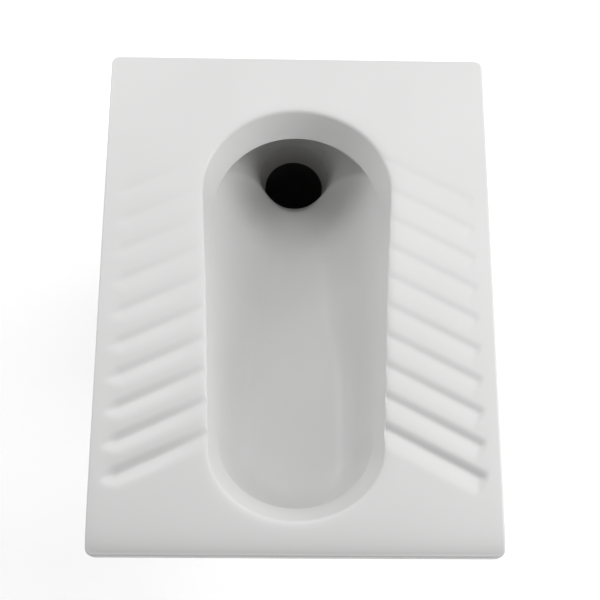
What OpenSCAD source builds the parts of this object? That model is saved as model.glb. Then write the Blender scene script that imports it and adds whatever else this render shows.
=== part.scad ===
// Floor-set squatting pan in vitreous china, with its flush connection and
// its cast-iron P-trap. Millimetres, +Z up. X runs across the deck, +Y runs
// from the shallow end to the drain end. The origin is the middle of the
// skirt's underside, the level at which the pan lies on the floor bed.

/* [Deck] */
// Length of the deck, shallow end to drain end
deck_l = 580; // [580:5:600]
// Width of the deck
deck_w = 440; // [440:5:460]
// Radius of the deck's corners in plan
corner_r = 9; // [8:1:18]
// Radius of the deck's outer top edge
edge_r = 4; // [3:1:7]
// Thickness of the deck slab
slab_t = 10; // [9:1:12]
// Height of the turned-down skirt, floor bed to deck surface
skirt_h = 30; // [26:1:34]
// Thickness of the skirt
skirt_t = 10; // [8:1:10]

/* [Foot grooves] */
// Grooves on each side
groove_n = 10; // [6:1:10]
// Distance between grooves along the deck
groove_pitch = 35.7; // [34:0.1:36]
// Place of the first groove, measured on the line 150 mm off the middle
groove_y0 = -184; // [-186:1:-178]
// Angle between a groove and the deck's width
groove_angle = 26; // [22:1:28]
// Depth of a groove
groove_depth = 3; // [1.5:0.5:4]
// Distance of a groove's outer end from the middle of the deck
groove_end_x = 200; // [190:1:204]

/* [Bowl] */
// Depth of the apron's sharp lower edge below the deck surface
apron_d = 42; // [38:1:46]
// Depth of the bowl floor below the deck surface, shallow end
floor_near_d = 112; // [104:1:116]
// Fall of the bowl floor, mm per mm of length
floor_fall = 0.143; // [0.12:0.001:0.15]
// Wall thickness of the bowl
bowl_t = 8; // [7:0.5:9]

/* [Drain] */
// Distance of the drain axis from the middle of the deck
drain_y = 225.5; // [224:0.5:226]
// Radius of the funnel's mouth
funnel_r = 46; // [44:0.5:47]
// Depth of the funnel's mouth below the deck surface
funnel_d = 190; // [188:1:194]
// Radius of the outlet horn's bore at its lower end
horn_bore_r = 38.8; // [36:0.2:40]
// Outside radius of the outlet horn where the seal grips it
horn_r = 50; // [49:0.5:51]
// Depth of the horn's lower end below the deck surface
horn_d = 242; // [240:1:246]

/* [Flush connection] */
// Outside radius of the flush pipe
flush_pipe_r = 16; // [12.5:0.5:17]
// Radius of the supply horn's bore
supply_bore_r = 22; // [21:0.5:23]
// Height of the supply horn's axis, below the floor bed
supply_z = -50; // [-52:1:-48]

/* [Trap] */
// Radius of the trap's bore
trap_r = 48; // [46:0.5:49]
// Wall thickness of the trap
trap_t = 7; // [6:0.5:8]
// Bend radius of the trap's U, measured at the middle of the bore
bend_r = 63; // [62:0.5:65]
// Depth of the water seal
seal_d = 50; // [45:1:55]
// Length of the outlet spigot's straight end
spigot_l = 78; // [70:1:84]
// Radius of the trap's socket
socket_r = 55.5; // [55:0.5:56]

/* [Hidden] */
$fn = 64;

top_z = skirt_h;                 // deck surface
under_z = top_z - slab_t;        // underside of the deck slab
apron_z = top_z - apron_d;       // sharp lower edge of the apron
rim_t = 8;                       // walls of the rim channel
apron_t = 6.5;                   // thickness of the apron at its lower edge
near_z = top_z - floor_near_d;   // bowl floor, shallow end
mouth_z = top_z - funnel_d;      // mouth of the funnel
bowl_z = mouth_z - 12;           // where the bowl ends and the horn begins
horn_z = top_z - horn_d;         // lower end of the horn

// Segments of an outline: far arc, each side, near arc
nf = 24;
ns = 8;
nn = 20;
bow = 3;

// An egg outline: half an ellipse at the far end, half an ellipse at the near
// end and slightly bowed sides. f and n = [half width, length, y of centre].
function egg(f, n, o = 0) = concat(
    [for (i = [0:nf]) let (a = 180 * i / nf) [(f[0] + o) * cos(a), f[2] + (f[1] + o) * sin(a)]],
    [for (i = [1:ns - 1]) let (u = i / ns) [-(f[0] + o) * (1 - u) - (n[0] + o) * u - bow * u * (1 - u), f[2] * (1 - u) + n[2] * u]],
    [for (i = [0:nn]) let (a = 180 + 180 * i / nn) [(n[0] + o) * cos(a), n[2] + (n[1] + o) * sin(a)]],
    [for (i = [1:ns - 1]) let (u = i / ns) [(n[0] + o) * (1 - u) + (f[0] + o) * u + bow * u * (1 - u), n[2] * (1 - u) + f[2] * u]]);

// Ends of the outlines: [half width, length, y of centre]
lip_f = [110, 100, 123.5];    // outer edge of the rolled lip
lip_n = [95.5, 80, -177];
apr_f = [97.3, 94.8, 110];    // sharp lower edge of the apron
apr_n = [86, 77.7, -158];
bow_f = [97.3, 164.8, 110];     // bowl wall just under the apron: flush with it
bow_n = [86, 91.7, -158];       // along the sides, set back at both ends
chn_f = [139, 149, 130];      // outside of the rim channel
chn_n = [129, 117, -160];
flr_f = [50, 58.5, 215];      // where the wall runs out into the floor
flr_n = [64, 53, -152];

function lift(pts, z) = [for (p = pts) [p[0], p[1], z]];

// Height of the bowl floor at y: a straight fall that steepens towards the
// drain and levels out at the funnel's mouth
function floor_raw(y) = near_z - floor_fall * (y + 205) - (y > 61 ? 0.00162 * (y - 61) * (y - 61) : 0);
function floor_z(y) = let (a = floor_raw(y), m = mouth_z - 5) (a + m + sqrt((a - m) * (a - m) + 36)) / 2;

// Half width of the floor outline at y, o larger all round
function floor_hw(y, o) = y >= flr_f[2] ? (flr_f[0] + o) * sqrt(max(0, 1 - pow((y - flr_f[2]) / (flr_f[1] + o), 2)))
    : let (u = (y - flr_n[2]) / (flr_f[2] - flr_n[2])) (flr_n[0] + o) * (1 - u) + (flr_f[0] + o) * u + bow * u * (1 - u);

// Point of the floor outline straight inward from p
function foot(p, o) = p[1] > drain_y
    ? let (l = norm([p[0], p[1] - drain_y]), dx = p[0] / l, dy = (p[1] - drain_y) / l,
           aa = flr_f[0] + o, bb = flr_f[1] + o, k = drain_y - flr_f[2],
           al = dx * dx / aa / aa + dy * dy / bb / bb, be = dy * k / bb / bb, ga = k * k / bb / bb - 1,
           t = (sqrt(be * be - al * ga) - be) / al) [t * dx, drain_y + t * dy]
    : p[1] < flr_n[2]
    ? let (l = norm([p[0], p[1] - flr_n[2]]), dx = p[0] / l, dy = (p[1] - flr_n[2]) / l,
           t = 1 / sqrt(dx * dx / pow(flr_n[0] + o, 2) + dy * dy / pow(flr_n[1] + o, 2))) [t * dx, flr_n[2] + t * dy]
    : [sign(p[0]) * floor_hw(p[1], o), p[1]];

// Ring of the wall at share t of the way from outline a, at height z0, to its
// feet b on the floor; d lowers the floor for the bowl's underside
function wall_ring(a, b, z0, t, d) = [for (i = [0:len(a) - 1])
    let (z3 = max(floor_z(b[i][1]) - d, bowl_z), k = 0.55,
         run = [a[i][0] - b[i][0], a[i][1] - b[i][1]],
         rise = (floor_z(b[i][1] + run[1] * 0.1) - floor_z(b[i][1])) * 10,
         p0 = [a[i][0], a[i][1], z0], p1 = [a[i][0], a[i][1], z0 + (z3 - z0) * 0.68],
         p3 = [b[i][0], b[i][1], z3], p2 = [b[i][0] + run[0] * k, b[i][1] + run[1] * k, z3 + rise * k])
    pow(1 - t, 3) * p0 + 3 * t * pow(1 - t, 2) * p1 + 3 * t * t * (1 - t) * p2 + t * t * t * p3];

// Circle round the drain with one point for each point of outline b: the far
// points lie in line with the axis, the others share the near half
function drain_ring(b, r, z) = let (n = len(b), k = [for (i = [0:nf]) if (b[i][1] > drain_y) i], i0 = k[0], i1 = k[len(k) - 1])
    [for (i = [0:n - 1]) let (a = i >= i0 && i <= i1 ? atan2(b[i][1] - drain_y, b[i][0])
        : i > i1 ? let (a1 = atan2(b[i1][1] - drain_y, b[i1][0]), a2 = atan2(b[i0][1] - drain_y, b[i0][0]) + 360)
            a1 + (a2 - a1) * (i - i1) / (n + i0 - i1)
        : let (a1 = atan2(b[i1][1] - drain_y, b[i1][0]), a2 = atan2(b[i0][1] - drain_y, b[i0][0]) + 360)
            a1 + (a2 - a1) * (n + i - i1) / (n + i0 - i1) - 360) [r * cos(a), drain_y + r * sin(a), z]];

// Ring on the floor between outline b and the drain circle
function floor_ring(b, r, u, d) = let (c = drain_ring(b, r, 0)) [for (i = [0:len(b) - 1])
    let (x = b[i][0] * (1 - u) + c[i][0] * u, y = b[i][1] * (1 - u) + c[i][1] * u)
    [x, y, max(floor_z(y) - d, bowl_z)]];

function rrect(w, l, r, n = 6) = [for (q = [0:3]) for (i = [0:n])
    let (a = q * 90 + i * 90 / n, sx = (q == 0 || q == 3) ? 1 : -1, sy = q < 2 ? 1 : -1)
    [sx * (w / 2 - r) + r * cos(a), sy * (l / 2 - r) + r * sin(a)]];

// Solid through rings of equal length from the lowest up, with a flat cap
// at each end
module loft(rings) {
    n = len(rings[0]);
    m = len(rings);
    polyhedron(
        points = [for (r = rings) for (p = r) p],
        faces = concat(
            [[for (i = [0:n - 1]) i]],
            [for (k = [0:m - 2]) for (i = [0:n - 1]) let (j = (i + 1) % n)
                each [[k * n + i, (k + 1) * n + i, (k + 1) * n + j], [k * n + i, (k + 1) * n + j, k * n + j]]],
            [[for (i = [n - 1:-1:0]) (m - 1) * n + i]]));
}

// Ring-shaped solid: the rings run once round its section and close up
module loft_ring(rings) {
    n = len(rings[0]);
    m = len(rings);
    polyhedron(
        points = [for (r = rings) for (p = r) p],
        faces = [for (k = [0:m - 1]) for (i = [0:n - 1]) let (j = (i + 1) % n, q = (k + 1) % m)
            each [[k * n + i, q * n + i, q * n + j], [k * n + i, q * n + j, k * n + j]]]);
}

// One foot groove on the right-hand side, a valley with a steep far flank
// and a long near flank
module groove(i) {
    translate([150, groove_y0 + i * groove_pitch, top_z])
        rotate([0, 0, -groove_angle])
            translate([(groove_end_x - 150) / cos(groove_angle), 0, 0])
                rotate([90, 0, -90])
                    linear_extrude(height = 122)
                        polygon([[-9, 1], [-9, 0], [-5, -groove_depth * 0.45], [0, -groove_depth],
                                 [5, -groove_depth * 0.75], [17, 0], [17, 1]]);
}

module foot_deck() color("whitesmoke") {
    outer = rrect(deck_w, deck_l, corner_r);
    difference() {
        union() {
            // slab
            translate([0, 0, under_z]) linear_extrude(height = slab_t - edge_r) polygon(outer);
            // rounded outer top edge
            loft([for (a = [0:22.5:90]) let (e = edge_r * (1 - cos(a)))
                lift(rrect(deck_w - 2 * e, deck_l - 2 * e, corner_r - e),
                     top_z - edge_r + edge_r * sin(a))]);
            // skirt
            linear_extrude(height = under_z) difference() {
                polygon(outer);
                polygon(rrect(deck_w - 2 * skirt_t, deck_l - 2 * skirt_t, corner_r - skirt_t / 2));
            }
            // outside of the apron wall
            loft([lift(egg(apr_f, apr_n, apron_t), apron_z),
                  lift(egg(apr_f, apr_n, apron_t), apron_z + rim_t),
                  lift(egg(lip_f, lip_n, 1), under_z + 1)]);
        }
        // the opening, with its rolled lip and sloping apron
        loft(concat(
            [lift(egg(apr_f, apr_n), apron_z - 1), lift(egg(apr_f, apr_n), apron_z),
             lift(egg(lip_f, lip_n, -5), top_z - 8)],
            [for (a = [22.5:22.5:90]) lift(egg(lip_f, lip_n, -5 * (1 - sin(a))), top_z - 8 + 8 * sin(a))],
            [lift(egg(lip_f, lip_n, 0.4), top_z + 1)]));
        for (s = [0, 1], i = [0:groove_n - 1]) mirror([s, 0, 0]) groove(i);
    }
}

// Channel under the deck that leads the flush water round the opening
module flush_rim() color("gainsboro") difference() {
    union() {
        translate([0, 0, apron_z]) linear_extrude(height = rim_t) difference() {
            polygon(egg(chn_f, chn_n));
            polygon(egg(apr_f, apr_n, apron_t));
        }
        translate([0, 0, apron_z + rim_t]) linear_extrude(height = under_z - apron_z - rim_t) difference() {
            polygon(egg(chn_f, chn_n));
            polygon(egg(chn_f, chn_n, -rim_t));
        }
    }
    // holes that let the water down into the bowl, at both ends
    for (a = [30:8:150]) let (r = apron_t + 4.5)
        translate([(apr_f[0] + r) * cos(a), apr_f[2] + (apr_f[1] + r) * sin(a), apron_z - 1])
            cylinder(h = rim_t + 2, r = 2.8);
    for (a = [246:8:294]) let (r = apron_t + 3.8)
        translate([(apr_n[0] + r) * cos(a), apr_n[2] + (apr_n[1] + r) * sin(a), apron_z - 1])
            cylinder(h = rim_t + 2, r = 2.4);
    // way up from the supply horn
    translate([-slot_w / 2, slot_y, apron_z - 1]) cube([slot_w, slot_l, rim_t + 2]);
}

// Trough under the apron, with its floor falling to the drain funnel
module bowl() color("white") {
    a = egg(bow_f, bow_n);
    b = [for (p = a) foot(p, 0)];
    ao = egg(bow_f, bow_n, bowl_t);
    bo = [for (p = ao) foot(p, bowl_t - 1)];
    loft_ring(concat(
        [for (t = [0:1 / 7:1]) wall_ring(a, b, apron_z, t, 0)],
        [for (u = [0.25, 0.5, 0.75, 1]) floor_ring(b, funnel_r, u, 0)],
        [drain_ring(b, funnel_r - 0.3, mouth_z - 6.5), drain_ring(b, funnel_r - 0.5, bowl_z),
         drain_ring(b, funnel_r + 6, bowl_z)],
        [for (u = [0.75, 0.5, 0.25]) floor_ring(bo, funnel_r + 6, u, 10)],
        [for (t = [1:-1 / 7:-0.01]) wall_ring(ao, bo, apron_z, max(t, 0), 10)]));
}

// Outlet spigot that goes down into the trap's socket
module outlet_horn() color("white") translate([0, drain_y, 0])
    rotate_extrude() polygon([
        [funnel_r - 0.5, bowl_z], [horn_bore_r, horn_z],
        [horn_r - 3, horn_z], [horn_r, horn_z + 4], [horn_r, bowl_z - 3], [funnel_r + 6, bowl_z]]);

// Supply horn at the shallow end, with the slot that feeds the rim channel
slot_w = 40;
slot_l = 9;
slot_y = -269.5;
module flush_inlet() color("gainsboro") difference() {
    union() {
        translate([-27, -280, supply_z]) cube([54, 22.4, apron_z - supply_z]);
        translate([0, -257.6, supply_z]) rotate([90, 0, 0]) cylinder(h = 22.4, r = 30);
    }
    translate([0, slot_y + slot_l, supply_z]) rotate([90, 0, 0]) cylinder(h = 21, r = supply_bore_r);
    translate([-slot_w / 2, slot_y, supply_z]) cube([slot_w, slot_l, apron_z - supply_z + 1]);
}

// Webs that carry the deck between the rim channel and the skirt
module deck_webs() color("gainsboro") difference() {
    for (s = [0, 1], y = [-150, 0, 140]) mirror([s, 0, 0])
        translate([0, y + 5, 0]) rotate([90, 0, 0]) linear_extrude(height = 10)
            polygon([[120, under_z], [120, apron_z + 10], [deck_w / 2 - skirt_t - 68, apron_z + 10],
                     [deck_w / 2 - skirt_t - 25, 3], [deck_w / 2 - skirt_t, 3], [deck_w / 2 - skirt_t, under_z]]);
    translate([0, 0, apron_z]) linear_extrude(height = under_z - apron_z + 1) polygon(egg(chn_f, chn_n));
}

// Rubber cone between the supply horn and the flush pipe
module flush_cone() color("dimgray") translate([0, slot_y, supply_z]) rotate([90, 0, 0])
    rotate_extrude() polygon([
        [flush_pipe_r, 0], [supply_bore_r - 2, 0], [supply_bore_r, 3], [supply_bore_r, 10.5],
        [supply_bore_r + 5, 10.5], [supply_bore_r + 5, 11.8], [supply_bore_r + 3.8, 13], [flush_pipe_r, 13]]);

// Rubber ring between the outlet horn and the trap's socket
sock_z = horn_z - 5;             // shoulder inside the socket
mouth_s = bowl_z - 8;            // mouth of the socket
module horn_seal() color("dimgray") translate([0, drain_y, 0]) rotate_extrude() polygon([
    [horn_r, mouth_s + 4], [socket_r + 4, mouth_s + 4], [socket_r + 4, mouth_s], [socket_r - 0.2, mouth_s],
    [socket_r - 0.2, mouth_s - 5], [horn_r + 2.5, mouth_s - 7], [horn_r + 2.5, mouth_s - 10], [socket_r - 0.2, mouth_s - 12],
    [socket_r - 0.2, mouth_s - 15], [horn_r + 2.5, mouth_s - 17], [horn_r + 2.5, mouth_s - 20],
    [socket_r - 0.2, mouth_s - 22], [socket_r - 0.2, mouth_s - 24], [horn_r + 1.5, mouth_s - 27], [horn_r, mouth_s - 27]]);

// The trap's route
bend_z = sock_z - 60;                                     // centre of the U
rise_y = drain_y - 2 * bend_r;                            // rising leg
out_z = bend_z - (bend_r - trap_r) + seal_d + trap_r;     // outlet axis
elbow_r = 62;
elbow_z = out_z - elbow_r;
out_y = rise_y - elbow_r;
door_z = bend_z + 7;                                      // access door
door_x = 66;
door_r = 48;
bolt_pcr = 38;

// Solid of radius r along the trap's route, over by e at each open end
module route(r, e) {
    translate([0, drain_y, bend_z]) cylinder(h = sock_z - bend_z + e, r = r);
    translate([0, drain_y - bend_r, bend_z]) rotate([90, 0, 90]) rotate([0, 0, 180])
        rotate_extrude(angle = 180) translate([bend_r, 0]) circle(r = r);
    translate([0, rise_y, bend_z]) cylinder(h = elbow_z - bend_z, r = r);
    translate([0, out_y, elbow_z]) rotate([90, 0, 90])
        rotate_extrude(angle = 90) translate([elbow_r, 0]) circle(r = r);
    translate([0, out_y, out_z]) rotate([90, 0, 0]) cylinder(h = spigot_l + e, r = r);
}

module around(n) for (k = [0:n - 1]) rotate([0, 0, 45 + 360 * k / n]) children();

module trap_body() color([0.13, 0.13, 0.14]) difference() {
    union() {
        route(trap_r + trap_t, 0);
        // socket and its collar
        translate([0, drain_y, 0]) rotate_extrude() polygon([
            [0, sock_z - 14], [trap_r + trap_t, sock_z - 14], [socket_r + trap_t, sock_z - 6],
            [socket_r + trap_t, mouth_s - 14], [socket_r + trap_t + 2, mouth_s - 12],
            [socket_r + trap_t + 2, mouth_s - 1], [socket_r + trap_t + 1, mouth_s], [0, mouth_s]]);
        // boss of the access door
        translate([0, rise_y, door_z]) rotate([0, 90, 0]) cylinder(h = door_x, r = door_r);
    }
    route(trap_r, 1);
    translate([0, drain_y, sock_z]) cylinder(h = mouth_s - sock_z + 1, r = socket_r);
    translate([0, rise_y, door_z]) rotate([0, 90, 0]) cylinder(h = door_x + 1, r = 30);
    translate([door_x - 15, rise_y, door_z]) rotate([0, 90, 0]) around(4)
        translate([bolt_pcr, 0, 0]) cylinder(h = 16, r = 4);
}

module door_gasket() color("black") translate([door_x, rise_y, door_z]) rotate([0, 90, 0]) difference() {
    cylinder(h = 3, r = door_r - 1);
    translate([0, 0, -1]) cylinder(h = 5, r = 31);
    around(4) translate([bolt_pcr, 0, -1]) cylinder(h = 5, r = 4.5);
}

module door_cover() color([0.16, 0.16, 0.17]) translate([door_x + 3, rise_y, door_z]) rotate([0, 90, 0]) difference() {
    rotate_extrude() polygon([[0, 0], [door_r, 0], [door_r, 6], [door_r - 2, 8], [29, 8], [26, 11], [0, 11]]);
    around(4) translate([bolt_pcr, 0, -1]) cylinder(h = 12, r = 4.5);
}

module door_washers() color("silver") translate([door_x + 11, rise_y, door_z]) rotate([0, 90, 0]) around(4)
    translate([bolt_pcr, 0, 0]) difference() {
        cylinder(h = 1.6, r = 8);
        translate([0, 0, -1]) cylinder(h = 4, r = 4.3);
    }

module door_bolts() color("silver") translate([door_x + 12.6, rise_y, door_z]) rotate([0, 90, 0]) around(4)
    translate([bolt_pcr, 0, 0]) {
        cylinder(h = 5.3, r = 7.5, $fn = 6);
        translate([0, 0, -25]) cylinder(h = 25, r = 3.95);
    }

foot_deck();
flush_rim();
bowl();
outlet_horn();
flush_inlet();
deck_webs();
flush_cone();
horn_seal();
trap_body();
door_gasket();
door_cover();
door_bolts();
door_washers();
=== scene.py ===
import math

import bpy
import bmesh
import numpy as np
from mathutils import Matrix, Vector
from mathutils.geometry import delaunay_2d_cdt


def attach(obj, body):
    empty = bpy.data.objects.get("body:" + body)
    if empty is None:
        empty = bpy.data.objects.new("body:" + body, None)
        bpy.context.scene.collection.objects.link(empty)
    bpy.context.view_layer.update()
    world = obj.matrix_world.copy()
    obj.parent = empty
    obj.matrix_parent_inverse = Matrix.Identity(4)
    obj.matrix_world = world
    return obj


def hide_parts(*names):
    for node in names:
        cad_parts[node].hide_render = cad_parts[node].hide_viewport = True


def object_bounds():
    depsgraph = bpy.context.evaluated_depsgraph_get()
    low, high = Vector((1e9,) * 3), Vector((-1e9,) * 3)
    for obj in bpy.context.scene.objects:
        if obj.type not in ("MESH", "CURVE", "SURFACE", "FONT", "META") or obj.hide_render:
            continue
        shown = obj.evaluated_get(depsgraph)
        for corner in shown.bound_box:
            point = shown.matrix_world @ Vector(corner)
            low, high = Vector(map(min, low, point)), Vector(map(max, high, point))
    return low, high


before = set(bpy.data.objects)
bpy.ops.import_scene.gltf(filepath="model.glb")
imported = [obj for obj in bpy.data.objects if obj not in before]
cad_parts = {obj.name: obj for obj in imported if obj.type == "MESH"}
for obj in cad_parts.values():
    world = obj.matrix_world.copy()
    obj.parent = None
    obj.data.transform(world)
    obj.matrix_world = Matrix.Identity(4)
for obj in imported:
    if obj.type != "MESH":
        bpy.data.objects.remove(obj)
cad_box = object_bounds()

# ---------------------------------------------------------------- dimensions
# Millimetres, in the part's own frame: X across the deck, +Y towards the
# drain, z = 0 at the skirt's underside, deck surface at z = 30.
TOP = 30.0
UNDER = 20.0
APRON_Z = -12.0
DECK_W, DECK_L = 440.0, 580.0
CORNER_R, EDGE_R = 8.0, 2.6
SKIRT_T = 10.0
APRON_T = 6.5
RIM_T = 8.0
NEAR_Z = -82.0
FALL = 0.143
MOUTH_Z = -160.0
BOWL_Z = -172.0
BORE_TOP = 45.5                  # radius of the drain where the horn begins
HORN_Z = -212.0
DRAIN_Y = 225.5
BOW = 3.0
SLOT_W, SLOT_L, SLOT_Y = 40.0, 9.0, -269.5
SUPPLY_Z, SUPPLY_R, PIPE_R = -50.0, 22.0, 16.0
WEB_LOW, WEB_X0, WEB_X1 = -2.0, 142.0, 185.0
DEEP = TOP - APRON_Z            # from the deck down to the apron's lower edge
LIP_R = 5.0                     # how far down the rolled lip reaches
SHOULDER, SHOULDER_L = 1.1, 4.0 # fall of the deck towards the lip, and over what length

# [half width, length, y of centre]
LIP_F, LIP_N = (110, 100, 123.5), (95.5, 80, -177)
APR_F, APR_N = (97.3, 94.8, 110), (86, 77.7, -158)
BACK_F, BACK_N = 70.0, 14.0      # how far the bowl's wall stands back from the apron
CHN_F, CHN_N = (139, 149, 130), (129, 117, -160)
FLR_F, FLR_N = (50.5, 57.5, 215), (58, 46, -156)


# ------------------------------------------------------------------- helpers
def egg(f, n, o=0.0, nf=200, ns=180, nn=160):
    """Closed outline: far half-ellipse, bowed side, near half-ellipse, bowed side."""
    a = np.radians(np.linspace(0, 180, nf + 1))
    far = np.c_[(f[0] + o) * np.cos(a), f[2] + (f[1] + o) * np.sin(a)]
    u = np.arange(1, ns) / ns
    left = np.c_[-(f[0] + o) * (1 - u) - (n[0] + o) * u - BOW * u * (1 - u), f[2] * (1 - u) + n[2] * u]
    a = np.radians(180 + np.linspace(0, 180, nn + 1))
    near = np.c_[(n[0] + o) * np.cos(a), n[2] + (n[1] + o) * np.sin(a)]
    right = np.c_[(n[0] + o) * (1 - u) + (f[0] + o) * u + BOW * u * (1 - u), n[2] * (1 - u) + f[2] * u]
    return soften(np.vstack([far, left, near, right]), 4.0)


def soften(p, sigma):
    """Evens out the joints of a closed outline."""
    k = np.arange(-int(3 * sigma), int(3 * sigma) + 1)
    w = np.exp(-0.5 * (k / sigma) ** 2)
    w /= w.sum()
    q = np.zeros_like(p)
    for kk, ww in zip(k, w):
        q += ww * np.roll(p, -kk, axis=0)
    return q


def normals2(p):
    """Outward unit normals of a closed counter-clockwise outline."""
    t = np.roll(p, -1, axis=0) - np.roll(p, 1, axis=0)
    n = np.c_[t[:, 1], -t[:, 0]]
    return n / np.linalg.norm(n, axis=1)[:, None]


def rect_outline(w, l, r, yf, yn, nf=200, ns=180, nn=160):
    """Rounded rectangle sampled like an egg outline: far part from (w/2, yf) round to
    (-w/2, yf), left side, near part, right side."""
    def path(y0, y1, n):
        segs = []
        hx, hy = w / 2, l / 2
        s = 1 if y0 > 0 else -1
        # lengths of the straight, the arc, the straight, the arc, the straight
        a = hy - r - abs(y0)
        arc = math.pi * r / 2
        b = w - 2 * r
        total = 2 * a + 2 * arc + b
        out = []
        for d in np.linspace(0, total, n + 1):
            if d <= a:
                p = (hx, abs(y0) + d)
            elif d <= a + arc:
                t = (d - a) / r
                p = (hx - r + r * math.cos(t), hy - r + r * math.sin(t))
            elif d <= a + arc + b:
                p = (hx - r - (d - a - arc), hy)
            elif d <= a + 2 * arc + b:
                t = (d - a - arc - b) / r
                p = (-hx + r - r * math.sin(t), hy - r + r * math.cos(t))
            else:
                p = (-hx, hy - r - (d - a - 2 * arc - b))
            out.append(p if s > 0 else (-p[0], -p[1]))
        return np.array(out)
    far = path(yf, yf, nf)
    near = path(-abs(yn), -abs(yn), nn)
    u = np.arange(1, ns) / ns
    left = np.c_[np.full(ns - 1, -w / 2), yf * (1 - u) + yn * u]
    right = np.c_[np.full(ns - 1, w / 2), yn * (1 - u) + yf * u]
    return np.vstack([far, left, near, right])


def ring3(p, z):
    z = np.full(len(p), float(z)) if np.isscalar(z) else z
    return np.c_[p, z]


def grid_mesh(name, rings, closed=False, caps=False):
    """Quads through rings of equal length. closed joins the last ring to the first."""
    m, n = len(rings), len(rings[0])
    v = np.vstack(rings) * 0.001
    k = np.arange(m if closed else m - 1)[:, None]
    i = np.arange(n)[None, :]
    j = (i + 1) % n
    q = (k + 1) % m
    f = np.stack([k * n + i, k * n + j, q * n + j, q * n + i], axis=-1).reshape(-1, 4)
    faces = f.tolist()
    if caps:
        faces.append(list(range(n))[::-1])
        faces.append([(m - 1) * n + a for a in range(n)])
    return mesh_object(name, v, faces)


def strip_faces(m, n, first=0):
    """Quads between m consecutive rings of n points."""
    k = np.arange(m - 1)[:, None]
    i = np.arange(n)[None, :]
    j = (i + 1) % n
    f = np.stack([k * n + i, k * n + j, (k + 1) * n + j, (k + 1) * n + i], axis=-1).reshape(-1, 4)
    return (f + first).tolist()


def inside(p, poly):
    """Which points p lie inside the closed outline poly."""
    x, y = p[:, 0][:, None], p[:, 1][:, None]
    x0, y0 = poly[:, 0][None, :], poly[:, 1][None, :]
    x1, y1 = np.roll(x0, -1, axis=1), np.roll(y0, -1, axis=1)
    hit = (y0 > y) != (y1 > y)
    dy = np.where(np.abs(y1 - y0) < 1e-12, 1e-12, y1 - y0)
    return (hit & (x < (x1 - x0) * (y - y0) / dy + x0)).sum(axis=1) % 2 == 1


def fill_between(outer, inner, height, step):
    """Even triangles between two closed outlines given as rings of 3-D points;
    height gives z for the points in between."""
    n = len(outer)
    lo, hi = outer[:, :2].min(axis=0), outer[:, :2].max(axis=0)
    rows = np.arange(lo[1], hi[1], step * 0.866)
    pts = []
    for k, y in enumerate(rows):
        x = np.arange(lo[0], hi[0], step) + (0.5 * step if k % 2 else 0.0)
        pts.append(np.c_[x, np.full(len(x), y)])
    pts = np.vstack(pts)
    c = outer[:, :2].mean(axis=0)
    keep = inside(pts, outer[:, :2]) & ~inside(pts, inner[:, :2])
    pts = pts[keep]
    edge = np.vstack([outer[:, :2], inner[:, :2]])
    gap = np.array([np.min(np.hypot(edge[:, 0] - q[0], edge[:, 1] - q[1])) for q in pts])
    pts = pts[gap > 0.55 * step]
    coords = np.vstack([edge, pts])
    loops = [(i, (i + 1) % n) for i in range(n)] + [(n + i, n + (i + 1) % n) for i in range(len(inner))]
    vs, es, fs, ov, oe, of_ = delaunay_2d_cdt([Vector(q) for q in coords], loops, [], 0, 1e-6)
    xyz = np.zeros((len(vs), 3))
    for i, v in enumerate(vs):
        xyz[i, :2] = coords[ov[i][0]] if ov[i] else (v[0], v[1])
    xyz[:, 2] = height(xyz[:, :2])
    ring = np.vstack([outer, inner])
    for i, o in enumerate(ov):
        for k in o:
            if k < len(ring):
                xyz[i] = ring[k]
    fs = [f for f in fs if len(f) == 3]
    mid = np.array([xyz[list(f), :2].mean(axis=0) for f in fs])
    ok = inside(mid, outer[:, :2]) & ~inside(mid, inner[:, :2])
    return xyz, [list(f) for f, o in zip(fs, ok) if o]


def mesh_object(name, v, faces, fix=True):
    me = bpy.data.meshes.new(name)
    me.from_pydata(np.asarray(v).tolist(), [], faces)
    me.validate()
    if fix:
        bm = bmesh.new()
        bm.from_mesh(me)
        bmesh.ops.remove_doubles(bm, verts=bm.verts, dist=1e-7)
        bmesh.ops.dissolve_degenerate(bm, edges=bm.edges, dist=1e-8)
        bmesh.ops.recalc_face_normals(bm, faces=bm.faces)
        bm.to_mesh(me)
        bm.free()
    ob = bpy.data.objects.new(name, me)
    bpy.context.scene.collection.objects.link(ob)
    return ob


def smooth(ob, angle=35):
    me = ob.data
    me.polygons.foreach_set("use_smooth", [True] * len(me.polygons))
    me.set_sharp_from_angle(angle=math.radians(angle))
    me.update()


def finish_piece(ob, mat, slot, *nodes, angle=35):
    smooth(ob, angle)
    ob.data.materials.clear()
    ob.data.materials.append(mat)
    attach(ob, "root")
    if nodes:
        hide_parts(*nodes)
    return ob


def lathe(name, profile, n=128, centre=(0, 0, 0), axis="z", start=0.0):
    """Closed solid of revolution of a closed profile of (radius, height), all radii > 0."""
    a = np.radians(start) + np.linspace(0, 2 * math.pi, n, endpoint=False)
    rings = []
    for r, h in profile:
        if axis == "z":
            p = np.c_[r * np.cos(a), r * np.sin(a), np.full(n, h)]
        elif axis == "-y":
            p = np.c_[r * np.cos(a), np.full(n, -h), r * np.sin(a)]
        else:
            p = np.c_[np.full(n, h), r * np.cos(a), r * np.sin(a)]
        rings.append(p + np.array(centre, float))
    return grid_mesh(name, rings, closed=True)


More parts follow.
